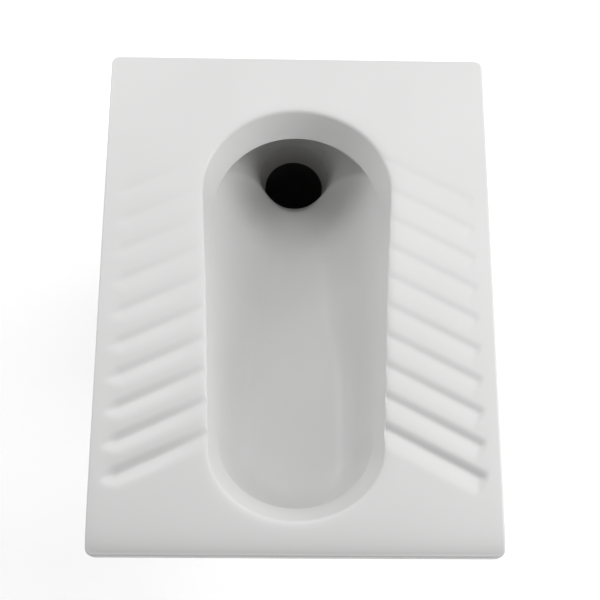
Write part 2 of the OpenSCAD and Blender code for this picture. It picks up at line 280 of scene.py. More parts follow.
def rounded(poly, radii, n=5):
    """Rounds the corners of a closed polygon profile; radii per corner."""
    out = []
    m = len(poly)
    for i in range(m):
        p0, p1, p2 = (np.array(poly[(i + d) % m], float) for d in (-1, 0, 1))
        r = radii[i] if hasattr(radii, "__len__") else radii
        if r <= 0:
            out.append(p1)
            continue
        a, b = p0 - p1, p2 - p1
        la, lb = np.linalg.norm(a), np.linalg.norm(b)
        a, b = a / la, b / lb
        ang = math.acos(np.clip(np.dot(a, b), -1, 1))
        d = min(r / math.tan(ang / 2), 0.48 * la, 0.48 * lb)
        for t in np.linspace(0, 1, n):
            q0, q2 = p1 + a * d, p1 + b * d
            out.append((1 - t) ** 2 * q0 + 2 * t * (1 - t) * p1 + t * t * q2)
    return [tuple(x) for x in out]


# ----------------------------------------------------------------- materials
def new_mat(name):
    m = bpy.data.materials.new(name)
    m.use_nodes = True
    nt = m.node_tree
    nt.nodes.clear()
    out = nt.nodes.new("ShaderNodeOutputMaterial")
    bs = nt.nodes.new("ShaderNodeBsdfPrincipled")
    nt.links.new(bs.outputs[0], out.inputs[0])
    return m, nt, bs


def node(nt, kind, **kw):
    n = nt.nodes.new(kind)
    for k, v in kw.items():
        if k in n.inputs.keys():
            n.inputs[k].default_value = v
        else:
            setattr(n, k, v)
    return n


def glaze(name, base, dark, rough, bump, coat=0.0):
    m, nt, bs = new_mat(name)
    tc = node(nt, "ShaderNodeTexCoord")
    big = node(nt, "ShaderNodeTexNoise", Scale=5.0, Detail=2.0, Roughness=0.5)
    nt.links.new(tc.outputs["Object"], big.inputs["Vector"])
    mix = node(nt, "ShaderNodeMix", data_type="RGBA")
    mix.inputs["A"].default_value = (*base, 1)
    mix.inputs["B"].default_value = (*dark, 1)
    ramp = node(nt, "ShaderNodeMapRange")
    ramp.inputs["From Min"].default_value = 0.35
    ramp.inputs["From Max"].default_value = 0.75
    nt.links.new(big.outputs["Fac"], ramp.inputs["Value"])
    nt.links.new(ramp.outputs["Result"], mix.inputs["Factor"])
    # pin marks in the glaze: a few small grey specks
    vor = node(nt, "ShaderNodeTexVoronoi", Scale=26.0)
    nt.links.new(tc.outputs["Object"], vor.inputs["Vector"])
    near = node(nt, "ShaderNodeMath", operation="LESS_THAN")
    near.inputs[1].default_value = 0.016
    nt.links.new(vor.outputs["Distance"], near.inputs[0])
    sep = node(nt, "ShaderNodeSeparateColor")
    nt.links.new(vor.outputs["Color"], sep.inputs["Color"])
    few = node(nt, "ShaderNodeMath", operation="GREATER_THAN")
    few.inputs[1].default_value = 0.93
    nt.links.new(sep.outputs[0], few.inputs[0])
    both = node(nt, "ShaderNodeMath", operation="MULTIPLY")
    nt.links.new(near.outputs[0], both.inputs[0])
    nt.links.new(few.outputs[0], both.inputs[1])
    speck = node(nt, "ShaderNodeMix", data_type="RGBA")
    speck.inputs["B"].default_value = (0.30, 0.29, 0.27, 1)
    nt.links.new(both.outputs[0], speck.inputs["Factor"])
    nt.links.new(mix.outputs["Result"], speck.inputs["A"])
    nt.links.new(speck.outputs["Result"], bs.inputs["Base Color"])
    # the glaze's slight unevenness
    fine = node(nt, "ShaderNodeTexNoise", Scale=55.0, Detail=2.0, Roughness=0.45)
    nt.links.new(tc.outputs["Object"], fine.inputs["Vector"])
    wide = node(nt, "ShaderNodeTexNoise", Scale=11.0, Detail=1.0, Roughness=0.5)
    nt.links.new(tc.outputs["Object"], wide.inputs["Vector"])
    add = node(nt, "ShaderNodeMath", operation="MULTIPLY_ADD")
    add.inputs[1].default_value = 3.0
    nt.links.new(wide.outputs["Fac"], add.inputs[0])
    nt.links.new(fine.outputs["Fac"], add.inputs[2])
    bp = node(nt, "ShaderNodeBump")
    bp.inputs["Strength"].default_value = bump
    bp.inputs["Distance"].default_value = 0.0006
    nt.links.new(add.outputs[0], bp.inputs["Height"])
    nt.links.new(bp.outputs[0], bs.inputs["Normal"])
    rr = node(nt, "ShaderNodeMapRange")
    rr.inputs["To Min"].default_value = rough * 0.8
    rr.inputs["To Max"].default_value = rough * 1.25
    nt.links.new(wide.outputs["Fac"], rr.inputs["Value"])
    nt.links.new(rr.outputs["Result"], bs.inputs["Roughness"])
    bs.inputs["IOR"].default_value = 1.52
    bs.inputs["Coat Weight"].default_value = coat
    bs.inputs["Coat Roughness"].default_value = 0.08
    return m


def iron(name):
    """Bitumen-coated sand-cast iron."""
    m, nt, bs = new_mat(name)
    tc = node(nt, "ShaderNodeTexCoord")
    n1 = node(nt, "ShaderNodeTexNoise", Scale=320.0, Detail=4.0, Roughness=0.6)
    n2 = node(nt, "ShaderNodeTexNoise", Scale=28.0, Detail=3.0, Roughness=0.55)
    for n in (n1, n2):
        nt.links.new(tc.outputs["Object"], n.inputs["Vector"])
    mix = node(nt, "ShaderNodeMix", data_type="RGBA")
    mix.inputs["A"].default_value = (0.090, 0.090, 0.092, 1)
    mix.inputs["B"].default_value = (0.150, 0.147, 0.143, 1)
    nt.links.new(n2.outputs["Fac"], mix.inputs["Factor"])
    nt.links.new(mix.outputs["Result"], bs.inputs["Base Color"])
    rr = node(nt, "ShaderNodeMapRange")
    rr.inputs["From Min"].default_value = 0.3
    rr.inputs["From Max"].default_value = 0.7
    rr.inputs["To Min"].default_value = 0.38
    rr.inputs["To Max"].default_value = 0.62
    nt.links.new(n2.outputs["Fac"], rr.inputs["Value"])
    nt.links.new(rr.outputs["Result"], bs.inputs["Roughness"])
    bp = node(nt, "ShaderNodeBump")
    bp.inputs["Strength"].default_value = 0.55
    bp.inputs["Distance"].default_value = 0.0007
    nt.links.new(n1.outputs["Fac"], bp.inputs["Height"])
    nt.links.new(bp.outputs[0], bs.inputs["Normal"])
    return m


def rubber(name):
    m, nt, bs = new_mat(name)
    tc = node(nt, "ShaderNodeTexCoord")
    n1 = node(nt, "ShaderNodeTexNoise", Scale=180.0, Detail=3.0, Roughness=0.6)
    nt.links.new(tc.outputs["Object"], n1.inputs["Vector"])
    mix = node(nt, "ShaderNodeMix", data_type="RGBA")
    mix.inputs["A"].default_value = (0.016, 0.016, 0.016, 1)
    mix.inputs["B"].default_value = (0.034, 0.033, 0.032, 1)
    nt.links.new(n1.outputs["Fac"], mix.inputs["Factor"])
    nt.links.new(mix.outputs["Result"], bs.inputs["Base Color"])
    bp = node(nt, "ShaderNodeBump")
    bp.inputs["Strength"].default_value = 0.25
    bp.inputs["Distance"].default_value = 0.0003
    nt.links.new(n1.outputs["Fac"], bp.inputs["Height"])
    nt.links.new(bp.outputs[0], bs.inputs["Normal"])
    bs.inputs["Roughness"].default_value = 0.62
    return m


def zinc(name):
    m, nt, bs = new_mat(name)
    tc = node(nt, "ShaderNodeTexCoord")
    n1 = node(nt, "ShaderNodeTexNoise", Scale=260.0, Detail=3.0, Roughness=0.6)
    nt.links.new(tc.outputs["Object"], n1.inputs["Vector"])
    mix = node(nt, "ShaderNodeMix", data_type="RGBA")
    mix.inputs["A"].default_value = (0.60, 0.61, 0.63, 1)
    mix.inputs["B"].default_value = (0.45, 0.46, 0.47, 1)
    nt.links.new(n1.outputs["Fac"], mix.inputs["Factor"])
    nt.links.new(mix.outputs["Result"], bs.inputs["Base Color"])
    rr = node(nt, "ShaderNodeMapRange")
    rr.inputs["To Min"].default_value = 0.28
    rr.inputs["To Max"].default_value = 0.5
    nt.links.new(n1.outputs["Fac"], rr.inputs["Value"])
    nt.links.new(rr.outputs["Result"], bs.inputs["Roughness"])
    bs.inputs["Metallic"].default_value = 1.0
    return m


china = glaze("glazed_china", (0.700, 0.700, 0.697), (0.675, 0.675, 0.672), 0.40, 0.06)
thin = glaze("thin_glaze_china", (0.660, 0.654, 0.640), (0.600, 0.592, 0.575), 0.34, 0.25)
coated_iron = iron("coated_iron")
black_rubber = rubber("black_rubber")
zinc_steel = zinc("zinc_steel")


# --------------------------------------------------------------------- treads
def smoothstep(t):
    t = np.clip(t, 0, 1)
    return t * t * (3 - 2 * t)


# angle, y of the first groove 150 mm off the middle, pitch
GROOVES = {1: (27.5, -178.6, 35.4), -1: (24.5, -182.8, 36.2)}
GROOVE_N = 10
GROOVE_DEPTH = 3.4
# depth of each groove relative to that, from the shallow end
GROOVE_SHARE = {1: (1.68, 1.14, 0.84, 0.65, 0.50, 0.40, 0.34, 0.29, 0.26, 0.25),
                -1: (1.95, 1.62, 1.28, 1.0, 0.79, 0.60, 0.44, 0.33, 0.30, 0.28)}
# how far each groove's steep side reaches, mm
GROOVE_REACH = {1: (8.4, 8.0, 7.8, 7.6, 7.5, 7.4, 7.4, 7.4, 7.4, 7.4),
                -1: (7.2, 7.2, 7.3, 7.4, 7.5, 7.6, 7.6, 7.6, 7.6, 7.6)}


def valley(w, far, near, r):
    """Depth share of a groove: deepest at w = 0, easing out over far and near mm."""
    reach = np.where(w > 0, far, near)
    t = np.clip((np.sqrt(w * w + r * r) - r) / reach, 0, 1)
    return (1 - t) ** 2 * (1 + 0.35 * t)


def tread(x, y):
    """Height of the deck surface relative to the flat deck, from the foot grooves."""
    h = np.zeros_like(x)
    for side, (ang, y0, pitch) in GROOVES.items():
        c, s = math.cos(math.radians(ang)), math.sin(math.radians(ang))
        on = x * side > 0
        ax = np.abs(x)
        for i in range(GROOVE_N):
            # w: across the groove, positive towards the drain end; l: along it, outward
            dx, dy = ax - 150.0, y - (y0 + i * pitch)
            l = dx * c - dy * s
            w = dx * s + dy * c
            lend = 50.0 / c
            run = i / (GROOVE_N - 1)
            deep, reach = GROOVE_SHARE[side][i], GROOVE_REACH[side][i]
            if side > 0:
                over = np.clip(l - (lend - 1.5), 0, None)
                end = 1.0 - smoothstep(over / 7.0)
                along = 0.82 + 0.18 * smoothstep((l + 40.0) / 60.0)
                g = 0.86 * valley(w + 4.2, reach, 20.0, 2.0) + 0.14 * valley(w + 4.2, 22.0, 20.0, 2.0)
            else:
                # the outer end runs out in a point
                end = 1.0 - smoothstep((l - (lend - 9.0)) / 22.0)
                reach = reach * (0.45 + 0.55 * end)
                start = -60.0 + 42.0 * smoothstep((run - 0.35) / 0.65)
                along = 0.42 + 0.58 * smoothstep((l - start) / 75.0)
                along = along * (1 - smoothstep((run - 0.45) / 0.4) * (1 - smoothstep((l + 52.0) / 30.0)))
                near = 5.0 + 12.0 * end
                g = 0.66 * valley(w + 3.2, reach, near, 2.2) + 0.34 * valley(w + 3.2, reach + 15.0, near, 2.2)
            h -= np.where(on, GROOVE_DEPTH * deep * along * g * end, 0.0)
    return h


def roll_off(x, y):
    """The deck's soft fall to its outer edges, a little more at the shallow end."""
    d = np.clip(DECK_W / 2 - np.abs(x), 0, None)
    dn = np.clip(DECK_L / 2 + y, 0, None)
    df = np.clip(DECK_L / 2 - y, 0, None)
    z = -0.5 * np.exp(-d / 5.0)
    z += -1.6 * np.exp(-dn / 4.5) - 4.8 * np.exp(-dn / 13.0) - 2.0 * np.exp(-dn / 38.0)
    z += -0.5 * np.exp(-df / 6.0)
    # the shallow end's left corner has sagged a little in the kiln
    left = smoothstep(-x / 60.0)
    z += left * (-2.2 * np.exp(-d / 40.0 - dn / 60.0) - 0.9 * np.exp(-d / 8.0) * smoothstep((60.0 - y) / 200.0))
    return z


def deck_height(x, y):
    return tread(x, y) + roll_off(x, y)


# ------------------------------------------------------------------ foot deck
def set_back(p):
    """How far the bowl's wall stands back from the apron's lower edge at the points p."""
    s = np.clip((p[:, 1] - APR_F[2]) / APR_F[1], 0, 1)
    t = np.clip((APR_N[2] + 12 - p[:, 1]) / (APR_N[1] + 12), 0, 1)
    return BACK_F * s ** 2.2 + BACK_N * t ** 1.6


def build_deck():
    lip = egg(LIP_F, LIP_N)
    apr = egg(APR_F, APR_N)
    base = rect_outline(DECK_W, DECK_L, CORNER_R, 170.0, -225.0)
    nrm = normals2(base)

    def rect(inset):
        if inset <= 4.0:
            return base - nrm * inset
        return rect_outline(DECK_W - 2 * inset, DECK_L - 2 * inset, max(CORNER_R - inset / 2, 3.0), 170.0, -225.0)
    d = lip - apr
    dist = np.linalg.norm(d, axis=1)[:, None]
    dirn = d / dist
    rings = []
    # apron: a straight slope from the lower edge, then the rolled lip; the
    # lower edge is rounded only where it stands clear of the bowl's wall
    straight = DEEP - LIP_R
    slope = (dist - LIP_R * 0.75) / straight    # run per mm of height
    er = 0.02 + 1.3 * smoothstep(set_back(apr) / 5.0)
    for t in (0.0, 0.3, 0.6, 0.8, 1.0):
        a = t * math.pi / 2
        h = er * (1 - math.cos(a))
        rings.append(ring3(apr + dirn * (slope[:, 0] * h + er * (1 - math.sin(a)))[:, None], APRON_Z + h))
    for t in np.linspace(0, 1, 10)[1:]:
        h = er + t * (straight - er)
        rings.append(ring3(apr + dirn * (slope[:, 0] * h)[:, None], APRON_Z + h))
    x0 = slope * straight
    grade = SHOULDER / SHOULDER_L
    kz = (DEEP - SHOULDER - grade * dist) / (1 - grade * slope)
    for t in np.linspace(0, 1, 12)[1:]:
        hx = (1 - t) ** 2 * x0 + 2 * t * (1 - t) * slope * kz + t * t * dist
        hz = ((1 - t) ** 2 * straight + 2 * t * (1 - t) * kz + t * t * (DEEP - SHOULDER))[:, 0]
        p = apr + dirn * hx
        fade = smoothstep(t)
        rings.append(ring3(p, APRON_Z + hz + fade * deck_height(p[:, 0], p[:, 1])))
    # deck surface, with the lip's soft shoulder
    edge = rect(EDGE_R)
    m = 70
    for t in np.linspace(0, 1, m + 1)[1:] ** 1.25:
        p = lip * (1 - t) + edge * t
        far = np.linalg.norm(p - lip, axis=1)
        rings.append(ring3(p, TOP - SHOULDER * np.exp(-far / SHOULDER_L) + deck_height(p[:, 0], p[:, 1])))
    # rounded outer edge and the skirt's outside
    drop = roll_off(edge[:, 0], edge[:, 1])
    for a in np.radians(np.linspace(0, 90, 9))[1:]:
        p = rect(EDGE_R * (1 - math.sin(a)))
        rings.append(ring3(p, TOP + drop - EDGE_R * (1 - math.cos(a))))
    for z in (18.0, 11.0, 5.0):
        rings.append(ring3(rect(0.0), z))
    # bottom of the skirt, small radii, then up its inside and along the slab
    for a in np.radians((0, 45, 90)):
        rings.append(ring3(rect(1.5 * (1 - math.cos(a))), 1.5 * (1 - math.sin(a))))
    for a in np.radians((0, 45, 90)):
        rings.append(ring3(rect(SKIRT_T - 1.5 + 1.5 * math.sin(a)), 1.5 * (1 - math.cos(a))))
    rings.append(ring3(rect(SKIRT_T), 8.0))
    for a in np.radians((0, 22.5, 45, 67.5, 90)):
        rings.append(ring3(rect(SKIRT_T + 5.0 * (1 - math.cos(a))), UNDER - 5.0 * (1 - math.sin(a))))
    out_top = egg(LIP_F, LIP_N, 1.0)
    inner = rect(SKIRT_T + 5.0)
    for t in np.linspace(0, 1, 12)[1:]:
        rings.append(ring3(inner * (1 - t) + out_top * t, UNDER))
    # the apron's outside
    out_low = egg(APR_F, APR_N, APRON_T)
    for t in (0.33, 0.67, 1.0):
        rings.append(ring3(out_top * (1 - t) + out_low * t, UNDER + (APRON_Z + RIM_T - UNDER) * t))
    rings.append(ring3(out_low, APRON_Z))
    return grid_mesh("foot_deck_shell", rings, closed=True)


# ------------------------------------------------------------------- bowl
def floor_raw(y):
    d = np.clip(y - 75.0, 0, None)
    return NEAR_Z - FALL * (y + 205) - 0.00075 * d ** 2 - 0.0000052 * d ** 3


def floor_z(y):
    a, m = floor_raw(y), MOUTH_Z - 5.0
    return (a + m + np.sqrt((a - m) ** 2 + 36.0)) / 2


def floor_hw(y):
    far = FLR_F[0] * np.sqrt(np.clip(1 - ((y - FLR_F[2]) / FLR_F[1]) ** 2, 0, None))
    u = (y - FLR_N[2]) / (FLR_F[2] - FLR_N[2])
    side = FLR_N[0] * (1 - u) + FLR_F[0] * u + BOW * u * (1 - u)
    return np.where(y >= FLR_F[2], far, side)


def feet(p):
    """Points of the floor outline straight inward from the points p."""
    q = np.zeros_like(p)
    for i, (x, y) in enumerate(p):
        if y > DRAIN_Y:
            l = math.hypot(x, y - DRAIN_Y)
            dx, dy = x / l, (y - DRAIN_Y) / l
            aa, bb, k = FLR_F[0], FLR_F[1], DRAIN_Y - FLR_F[2]
            al = dx * dx / aa ** 2 + dy * dy / bb ** 2
            be = dy * k / bb ** 2
            ga = k * k / bb ** 2 - 1
            t = (math.sqrt(be * be - al * ga) - be) / al
            q[i] = (t * dx, DRAIN_Y + t * dy)
        elif y < FLR_N[2]:
            l = math.hypot(x, y - FLR_N[2])
            dx, dy = x / l, (y - FLR_N[2]) / l
            t = 1 / math.sqrt((dx / FLR_N[0]) ** 2 + (dy / FLR_N[1]) ** 2)
            q[i] = (t * dx, FLR_N[2] + t * dy)
        else:
            q[i] = (math.copysign(float(floor_hw(np.array(y))), x), y)
    return q


def gauge(p, top):
    """1 on the outline top, 0 on the bowl's middle line."""
    x, y = p[:, 0], p[:, 1]
    yf, yn = APR_F[2], APR_N[2]
    right = top[(top[:, 0] > 0)]
    right = right[np.argsort(right[:, 1])]
    w = np.interp(y, right[:, 1], right[:, 0])
    u = np.abs(x) / w
    for y0, far in ((yf, True), (yn, False)):
        sel = top[top[:, 1] > y0 - 2] if far else top[top[:, 1] < y0 + 2]
        ang = np.arctan2((sel[:, 1] - y0) * (1 if far else -1), sel[:, 0])
        k = np.argsort(ang)
        r = np.interp(np.arctan2((y - y0) * (1 if far else -1), x), ang[k], np.hypot(sel[:, 0], sel[:, 1] - y0)[k])
        u = np.where((y > y0) if far else (y < y0), np.hypot(x, y - y0) / r, u)
    return u


def soft_min(a, b, k):
    return (a + b - np.sqrt((a - b) ** 2 + k * k)) / 2


def bowl_height(p, top, down, cone_r):
    """Inside of the bowl: a floor that runs up into the wall, and the drain's cone."""
    y = p[:, 1]
    f = floor_z(y) - down
    flat = 0.48 * smoothstep((y - 100) / 90)      # share of the width that stays level
    u = np.clip((gauge(p, top) - flat) / (1 - flat), 0, 1)
    n = 6.4 - 2.9 * smoothstep((y + 95) / 120) - 1.2 * smoothstep((y - 40) / 90)
    z = f + (APRON_Z - f) * u ** n
    r = np.hypot(p[:, 0], y - DRAIN_Y)
    d = r - cone_r
    # the cone is steep at the back and the sides and gentle towards the floor
    front = np.clip((DRAIN_Y - y) / r, 0, 1) ** 2
    cone = BOWL_Z + 40 * (1 - front) * (1 - np.exp(-np.maximum(d, -2.0) / 4.0)) + (2.2 - 0.3 * front) * d
    # outside, the cone runs more softly into the floor
    k = 5.0 if down < 1 else 5.0 + 21.0 * (1 - smoothstep((cone - z - 15) / 75))
    return np.where(cone < z + 90, soft_min(z, cone, k), z)


def drain_angles(b, nf):
    n = len(b)
    k = [i for i in range(nf + 1) if b[i][1] > DRAIN_Y]
    i0, i1 = k[0], k[-1]
    ang = np.zeros(n)
    a0 = math.atan2(b[i0][1] - DRAIN_Y, b[i0][0])
    a1 = math.atan2(b[i1][1] - DRAIN_Y, b[i1][0])
    for i in range(n):
        if i0 <= i <= i1:
            ang[i] = math.atan2(b[i][1] - DRAIN_Y, b[i][0])
        else:
            s = (i - i1) % n / (n + i0 - i1)
            ang[i] = a1 + (a0 + 2 * math.pi - a1) * s
    return ang


def build_bowl():
    nf, ns, nn = 200, 140, 120
    apr = egg(APR_F, APR_N, 0, nf, ns, nn)
    back = set_back(apr)
    nrm = normals2(apr)
    # set back along the axis at the far end, along the outline's normal at the near end
    out = np.where((apr[:, 1] > APR_F[2])[:, None], np.array([[0.0, 1.0]]), nrm)
    a = apr + out * back[:, None]
    b = feet(a)
    ao = a + normals2(a) * 8.0
    ang = drain_angles(b, nf)
    circ = lambda r: np.c_[r * np.cos(ang), DRAIN_Y + r * np.sin(ang)]

    def wall(top, foot, down, cone_r):
        """Rings from the outline top down the wall to its foot."""
        out = []
        z1 = bowl_height(top, top, down, cone_r)
        z1 = np.where(APRON_Z - z1 < 0.4, APRON_Z, z1)
        for t in np.linspace(0, 1, 9):
            out.append(np.c_[top, APRON_Z + (z1 - APRON_Z) * t])
        for t in np.linspace(0, 1, 46)[1:]:
            p = top + (foot - top) * t ** 1.25
            z = bowl_height(p, top, down, cone_r)
            out.append(np.c_[p, np.minimum(z, z1)])
        return out

    def mouth(foot, limit):
        r = np.minimum(limit, np.hypot(foot[:, 0], foot[:, 1] - DRAIN_Y) - 0.3)
        return r, np.c_[r * np.cos(ang), DRAIN_Y + r * np.sin(ang)]

    # inside: the wall, the floor and the funnel
    walls = wall(a, b, 0.0, BORE_TOP)
    r_in, m_in = mouth(b, 56.0)
    field = lambda q: bowl_height(q, a, 0.0, BORE_TOP)
    funnel = [np.c_[m_in, field(m_in)]]
    for r in (54, 52.5, 51.2, 50.2, 49.4, 48.7, 48.1, 47.6, 47.2, 46.8, 46.4, 46.1, 45.8):
        rr = np.minimum(r, r_in)
        q = np.c_[rr * np.cos(ang), DRAIN_Y + rr * np.sin(ang)]
        funnel.append(np.c_[q, field(q)])
    funnel.append(np.c_[circ(BORE_TOP), np.full(len(ang), BOWL_Z)])
    funnel.append(np.c_[circ(52.0), np.full(len(ang), BOWL_Z)])
    # underside
    grow = np.maximum(1.0, 53.5 / np.hypot(b[:, 0], b[:, 1] - DRAIN_Y))
    bo = np.c_[b[:, 0] * grow, DRAIN_Y + (b[:, 1] - DRAIN_Y) * grow]
    lower = lambda q: np.maximum(bowl_height(q, ao, 10.0, 52.0), BOWL_Z)
    under = [np.c_[q[:, :2], np.maximum(q[:, 2], BOWL_Z)] for q in wall(ao, bo, 10.0, 52.0)]
    r_out, m_out = mouth(bo, 60.0)
    funnel.append(np.c_[m_out, lower(m_out)])
    side = under[::-1] + walls
    v = [np.vstack(side), np.vstack(funnel)]
    n = len(ang)
    faces = strip_faces(len(side), n)
    faces += strip_faces(len(funnel), n, len(side) * n)
    first = (len(side) + len(funnel)) * n
    for outer, inner, height, step in ((walls[-1], funnel[0], field, 2.4), (under[-1], funnel[-1], lower, 5.0)):
        xyz, tri = fill_between(outer, inner, height, step)
        faces += [[i + first for i in f] for f in tri]
        v.append(xyz)
        first += len(xyz)
    return mesh_object("bowl_shell", np.vstack(v) * 0.001, faces)


deck = build_deck()
finish_piece(deck, china, "glazed_china", "foot_deck", angle=40)
bowl = build_bowl()
finish_piece(bowl, china, "glazed_china", "bowl", angle=50)


# --------------------------------------------------------------- hidden china
def build_rim():
    """Channel under the deck: its floor plate with the water holes and its outer wall."""
    low, high = APRON_Z, APRON_Z + RIM_T
    inner = egg(APR_F, APR_N, APRON_T)
    outer = egg(CHN_F, CHN_N)
    inset = outer - normals2(outer) * RIM_T
    e = 2.0
    rings = []
    for a in np.radians((0, 30, 60, 90)):
        rings.append(ring3(outer - normals2(outer) * e * (1 - math.sin(a)), low + e * (1 - math.cos(a))))
    for z in np.linspace(low + e + 4, UNDER, 5):
        rings.append(ring3(outer, z))
    rings.append(ring3(inset, UNDER))
    for z in np.linspace(UNDER, high + 3.0, 5)[1:]:
        rings.append(ring3(inset, z))
    step = inner - inset
    unit = step / np.linalg.norm(step, axis=1)[:, None]
    for a in np.radians((30, 60, 90)):
        rings.append(ring3(inset + unit * 3.0 * (1 - math.cos(a)), high + 3.0 * (1 - math.sin(a))))
    start = inset + unit * 3.0
    for t in np.linspace(0, 1, 8)[1:]:
        rings.append(ring3(start * (1 - t) + inner * t, high))
    rings.append(ring3(inner, low))
    end = outer - normals2(outer) * e
    for t in np.linspace(0, 1, 8)[1:-1]:
        rings.append(ring3(inner * (1 - t) + end * t, low))
    rim = grid_mesh("flush_rim_shell", rings, closed=True)
    cuts = []
    for k in range(16):
        a = math.radians(30 + 8 * k)
        r = APRON_T + 4.5
        cuts.append(((APR_F[0] + r) * math.cos(a), APR_F[2] + (APR_F[1] + r) * math.sin(a), 2.8))
    for k in range(7):
        a = math.radians(246 + 8 * k)
        r = APRON_T + 3.8
        cuts.append(((APR_N[0] + r) * math.cos(a), APR_N[2] + (APR_N[1] + r) * math.sin(a), 2.4))
    bm = bmesh.new()
    for x, y, r in cuts:
        drill(bm, x, y, r, low - 1.0, high + 1.0)
    slot(bm, -SLOT_W / 2, SLOT_W / 2, SLOT_Y, SLOT_Y + SLOT_L, low - 1.0, high + 1.0)
    return cut(rim, bm)


def drill(bm, x, y, r, z0, z1, n=20):
    lo = [bm.verts.new(((x + r * math.cos(t)) * 0.001, (y + r * math.sin(t)) * 0.001, z0 * 0.001))
          for t in np.linspace(0, 2 * math.pi, n, endpoint=False)]
    hi = [bm.verts.new((v.co.x, v.co.y, z1 * 0.001)) for v in lo]
    bm.faces.new(lo[::-1])
    bm.faces.new(hi)
    for i in range(n):
        j = (i + 1) % n
        bm.faces.new((lo[i], lo[j], hi[j], hi[i]))


def slot(bm, x0, x1, y0, y1, z0, z1):
    """Slot with rounded ends, running along X."""
    r = (y1 - y0) / 2
    yc = (y0 + y1) / 2
    pts = [(x1 - r + r * math.cos(t), yc + r * math.sin(t)) for t in np.linspace(-math.pi / 2, math.pi / 2, 12)]
    pts += [(x0 + r + r * math.cos(t), yc + r * math.sin(t)) for t in np.linspace(math.pi / 2, 1.5 * math.pi, 12)]
    lo = [bm.verts.new((x * 0.001, y * 0.001, z0 * 0.001)) for x, y in pts]
    hi = [bm.verts.new((x * 0.001, y * 0.001, z1 * 0.001)) for x, y in pts]
    bm.faces.new(lo[::-1])
    bm.faces.new(hi)
    for i in range(len(pts)):
        j = (i + 1) % len(pts)
        bm.faces.new((lo[i], lo[j], hi[j], hi[i]))


def tool_object(bm):
    bmesh.ops.recalc_face_normals(bm, faces=bm.faces)
    me = bpy.data.meshes.new("tool")
    bm.to_mesh(me)
    bm.free()
    ob = bpy.data.objects.new("tool", me)
    bpy.context.scene.collection.objects.link(ob)
    return ob


def boolean(ob, other, operation="DIFFERENCE"):
    """Cuts or joins other into ob for good and removes other."""
    mod = ob.modifiers.new("b", "BOOLEAN")
    mod.operation = operation
    mod.solver = "EXACT"
    mod.object = other
    dep = bpy.context.evaluated_depsgraph_get()
    me = bpy.data.meshes.new_from_object(ob.evaluated_get(dep))
    ob.modifiers.clear()
    old = ob.data
    ob.data = me
    me.name = old.name
    bpy.data.meshes.remove(old)
    dead = other.data
    bpy.data.objects.remove(other)
    bpy.data.meshes.remove(dead)
    return ob


def cut(ob, bm):
    return boolean(ob, tool_object(bm))


def build_webs():
    """Six webs between the channel and the skirt, with rounded edges and a foot at each end."""
    v, f = [], []
    chn = egg(CHN_F, CHN_N)
    for side in (1, -1):
        for yc in (-150.0, 0.0, 140.0):
            right = chn[chn[:, 0] > 0]
            right = right[np.argsort(right[:, 1])]
            x0 = float(np.interp(yc, right[:, 1], right[:, 0]))
            outl = [(x0, UNDER), (x0, WEB_LOW), (x0 + 8.0, WEB_LOW), (WEB_X0, WEB_LOW)]
            for t in np.linspace(0, 1, 14)[1:]:
                outl.append((WEB_X0 + (WEB_X1 - WEB_X0) * t, WEB_LOW + (3.0 - WEB_LOW) * (3 * t * t - 2 * t ** 3)))
            outl += [(210.0, 3.0), (210.0, UNDER)]
            for ys in (-1, 1):
                for x, z in outl:
                    v.append((side * x, yc + ys * 5.0, z))
            n = len(outl)
            b = len(v) - 2 * n
            f.append([b + i for i in range(n)])
            f.append([b + n + i for i in range(n)][::-1])
            for i in range(n):
                j = (i + 1) % n
                f.append([b + i, b + n + i, b + n + j, b + j])
    ob = mesh_object("deck_webs_shell", np.array(v) * 0.001, f)
    bm = bmesh.new()
    bm.from_mesh(ob.data)
    lows = [e for e in bm.edges if all(w.co.z * 1000 < UNDER - 0.5 for w in e.verts)
            and len(e.link_faces) == 2 and e.calc_face_angle(0) > math.radians(60)
            and abs(e.verts[0].co.y - e.verts[1].co.y) < 1e-6]
    bmesh.ops.bevel(bm, geom=lows, offset=0.0025, segments=4, profile=0.5, affect="EDGES", clamp_overlap=True)
    bmesh.ops.recalc_face_normals(bm, faces=bm.faces)
    bm.to_mesh(ob.data)
    bm.free()
    return ob


